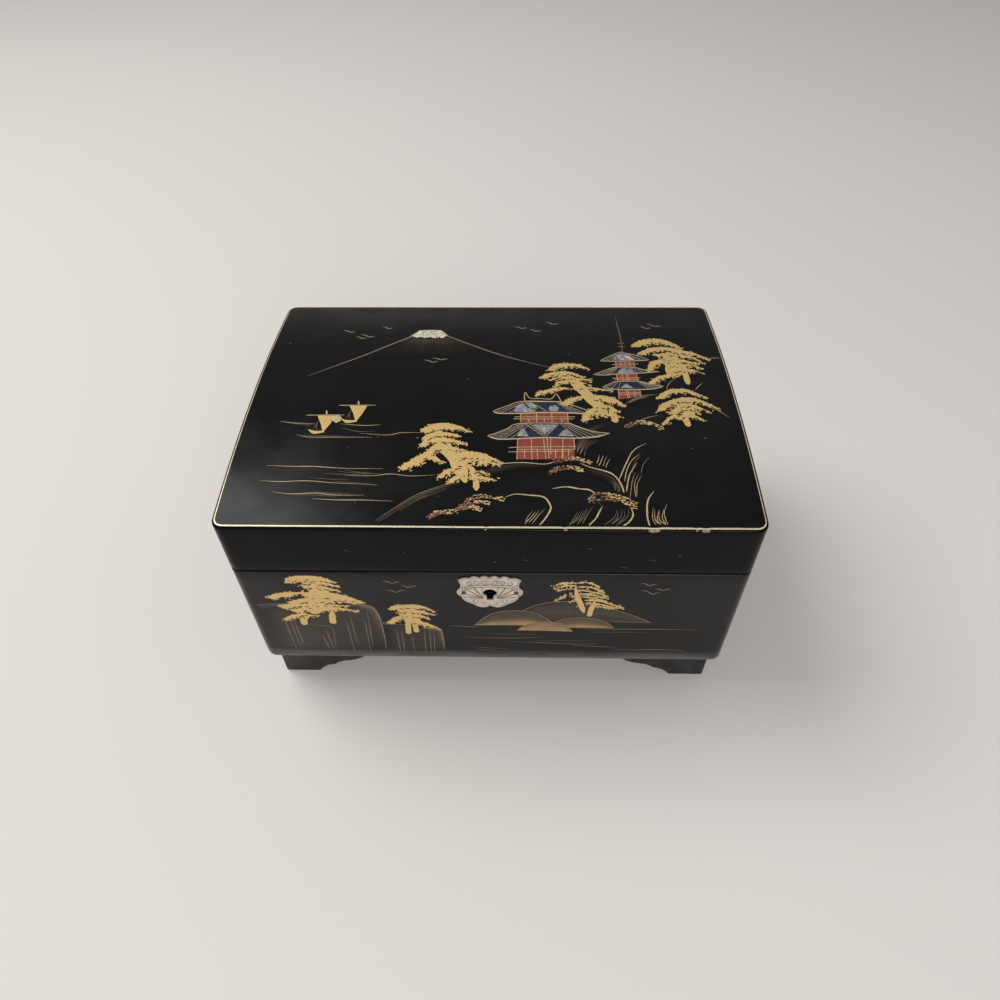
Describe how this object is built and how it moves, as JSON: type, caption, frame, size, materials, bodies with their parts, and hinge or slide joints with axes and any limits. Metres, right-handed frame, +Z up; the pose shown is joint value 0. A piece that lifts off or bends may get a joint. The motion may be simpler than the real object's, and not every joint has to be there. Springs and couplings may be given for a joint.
{
  "type": "musical jewelry box",
  "caption": "Black lacquered jewelry box with an arched hinged lid, bracket feet, a small lock, a velvet fitment and a wind-up musical movement.",
  "frame": {"origin": "on the surface the feet stand on, under the middle of the box's bounding box", "axes": "+X along the width, to the right when seen from the front; -Y out of the front face with the keyhole; +Z up"},
  "size_m": [0.228, 0.167, 0.1276],
  "materials": {
    "black_lacquer": "high gloss black lacquer over wood, with fine polishing marks",
    "satin_black": "satin black paint over wood",
    "velvet": "crimson velvet, short pile",
    "silvered_glass": "silvered glass",
    "nickel": "engraved nickel plate, lightly tarnished",
    "brass": "lacquered brass",
    "steel": "ground steel",
    "white_plastic": "moulded nylon",
    "clear_acrylic": "clear sheet"
  },
  "bodies": {
    "case": {"case_front": "black_lacquer", "case_back": "black_lacquer", "case_left": "black_lacquer", "case_right": "black_lacquer", "case_bottom": "satin_black", "foot_front_left": "satin_black", "foot_front_right": "satin_black", "foot_back_left": "satin_black", "foot_back_right": "satin_black", "hinge_left_case_leaf": "brass", "hinge_right_case_leaf": "brass", "hinge_left_pin": "brass", "hinge_right_pin": "brass", "escutcheon": "nickel", "escutcheon_pin_left": "brass", "escutcheon_pin_right": "brass", "lock_case": "brass", "liner_front": "velvet", "liner_back": "velvet", "liner_left": "velvet", "liner_right": "velvet", "floor_pad": "velvet", "rear_divider": "velvet", "movement_wall": "velvet", "front_divider": "velvet", "ring_shelf": "velvet", "movement_cover": "clear_acrylic", "ring_roll_1": "velvet", "ring_roll_2": "velvet", "ring_roll_3": "velvet", "ring_roll_4": "velvet", "bedplate": "brass", "comb": "steel", "comb_screw_left": "steel", "comb_screw_right": "steel", "governor_bracket": "brass", "stop_guide": "brass"},
    "lid": {"lid_front": "black_lacquer", "lid_back": "black_lacquer", "lid_left": "black_lacquer", "lid_right": "black_lacquer", "lid_top": "black_lacquer", "lid_lining": "velvet", "mirror": "silvered_glass", "mirror_frame": "black_lacquer", "hinge_left_lid_leaf": "brass", "hinge_right_lid_leaf": "brass", "lock_strike": "brass"},
    "bolt": {"lock_bolt": "brass"},
    "key": {"winding_arbor": "steel", "winding_key": "brass"},
    "drum": {"barrel": "brass", "mainspring": "steel"},
    "pinned_cylinder": {"cylinder": "brass", "cylinder_arbor": "steel", "cylinder_wheel": "brass"},
    "governor": {"governor_wheel": "white_plastic"},
    "fly": {"fly": "white_plastic"},
    "plunger": {"stop_plunger": "steel"}
  },
  "joints": [
    {"name": "lid_hinge", "type": "hinge", "parent": "case", "child": "lid", "pos_m": [0, 0.0817, 0.0938], "axis": [-1, 0, 0], "range_deg": [0, 100]},
    {"name": "lock_bolt_slide", "type": "slide", "parent": "case", "child": "bolt", "axis": [1, 0, 0], "range_m": [0, 0.0032]},
    {"name": "key_turn", "type": "hinge", "parent": "case", "child": "key", "pos_m": [0.0515, 0.044, 0.0253], "axis": [0, 0, 1], "continuous": true},
    {"name": "cylinder_turn", "type": "hinge", "parent": "case", "child": "pinned_cylinder", "pos_m": [0.0655, 0.044, 0.0403], "axis": [1, 0, 0], "continuous": true},
    {"name": "drum_turn", "type": "hinge", "parent": "case", "child": "drum", "pos_m": [0.0515, 0.044, 0.0253], "axis": [0, 0, 1], "continuous": true},
    {"name": "governor_turn", "type": "hinge", "parent": "case", "child": "governor", "pos_m": [0.0655, 0.054, 0.0403], "axis": [1, 0, 0], "continuous": true},
    {"name": "fly_spin", "type": "hinge", "parent": "case", "child": "fly", "pos_m": [0.0921, 0.0468, 0.0253], "axis": [0, 0, 1], "continuous": true},
    {"name": "stop_lift", "type": "slide", "parent": "case", "child": "plunger", "axis": [0, 0, 1], "range_m": [0, 0.0052]}
  ],
  "couplings": [
    {"joint": "drum_turn", "follows": "cylinder_turn", "ratio": 0.33333},
    {"joint": "governor_turn", "follows": "cylinder_turn", "ratio": -4},
    {"joint": "fly_spin", "follows": "cylinder_turn", "ratio": -96},
    {"joint": "stop_lift", "follows": "lid_hinge", "m_per_rad": 0.002865}
  ]
}
